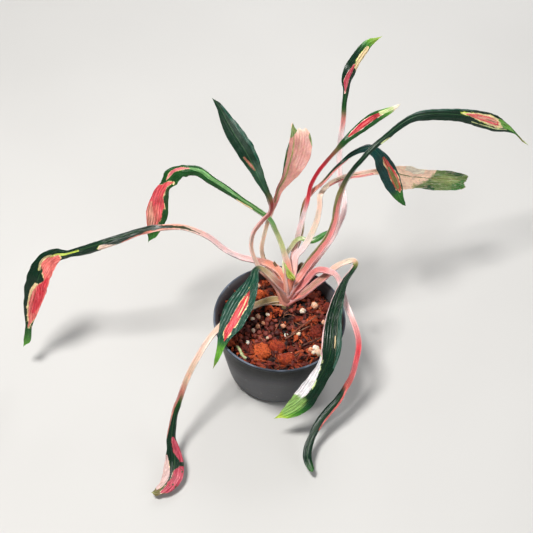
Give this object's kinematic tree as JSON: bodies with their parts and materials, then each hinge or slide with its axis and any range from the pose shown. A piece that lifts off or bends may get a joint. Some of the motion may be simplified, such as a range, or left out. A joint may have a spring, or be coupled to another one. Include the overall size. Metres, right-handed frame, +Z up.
{
  "type": "potted medusa aglaonema",
  "caption": "Tropical foliage plant with long, narrow, twisted and torn leaves in pink, red, cream and green, in a round nursery pot of bark mix.",
  "frame": {"origin": "centre of the flat underside of the pot", "axes": "+Z up out of the pot; +X towards the side of the longest right-hand leaf, as the picture shows it; +Y away from the side that the picture was taken from"},
  "size_m": [0.5096, 0.3547, 0.2799],
  "materials": {
    "pot_plastic": "dark charcoal moulded plastic, satin, with faint scuffs",
    "bark_mix": "rough reddish-brown bark and coco chips with clay pellets, rocks and perlite",
    "stem": "smooth fleshy stem wrapped in stalk bases",
    "dark_leaf": "semi-gloss deep green leaf with cream, pink and red patches",
    "green_leaf": "semi-gloss mid-green leaf with pink, red and cream patches",
    "pale_leaf": "satin pale pink and cream leaf underside, mottled with green",
    "young_leaf": "satin pale lime-green young leaf"
  },
  "bodies": {
    "root": {"pot": "pot_plastic", "soil": "bark_mix", "stem": "stem", "leaf_far_left": "dark_leaf", "leaf_left_arch": "green_leaf", "leaf_upper_left": "dark_leaf", "leaf_torn_back": "pale_leaf", "leaf_front_left": "green_leaf", "leaf_low_left": "green_leaf", "leaf_tall_back": "green_leaf", "leaf_long_right": "dark_leaf", "leaf_red_stalk": "green_leaf", "leaf_torn_right": "pale_leaf", "leaf_dark_right": "dark_leaf", "leaf_front_right": "dark_leaf", "leaf_low_right": "dark_leaf", "leaf_small": "young_leaf", "new_shoot": "young_leaf"}
  },
  "joints": []
}
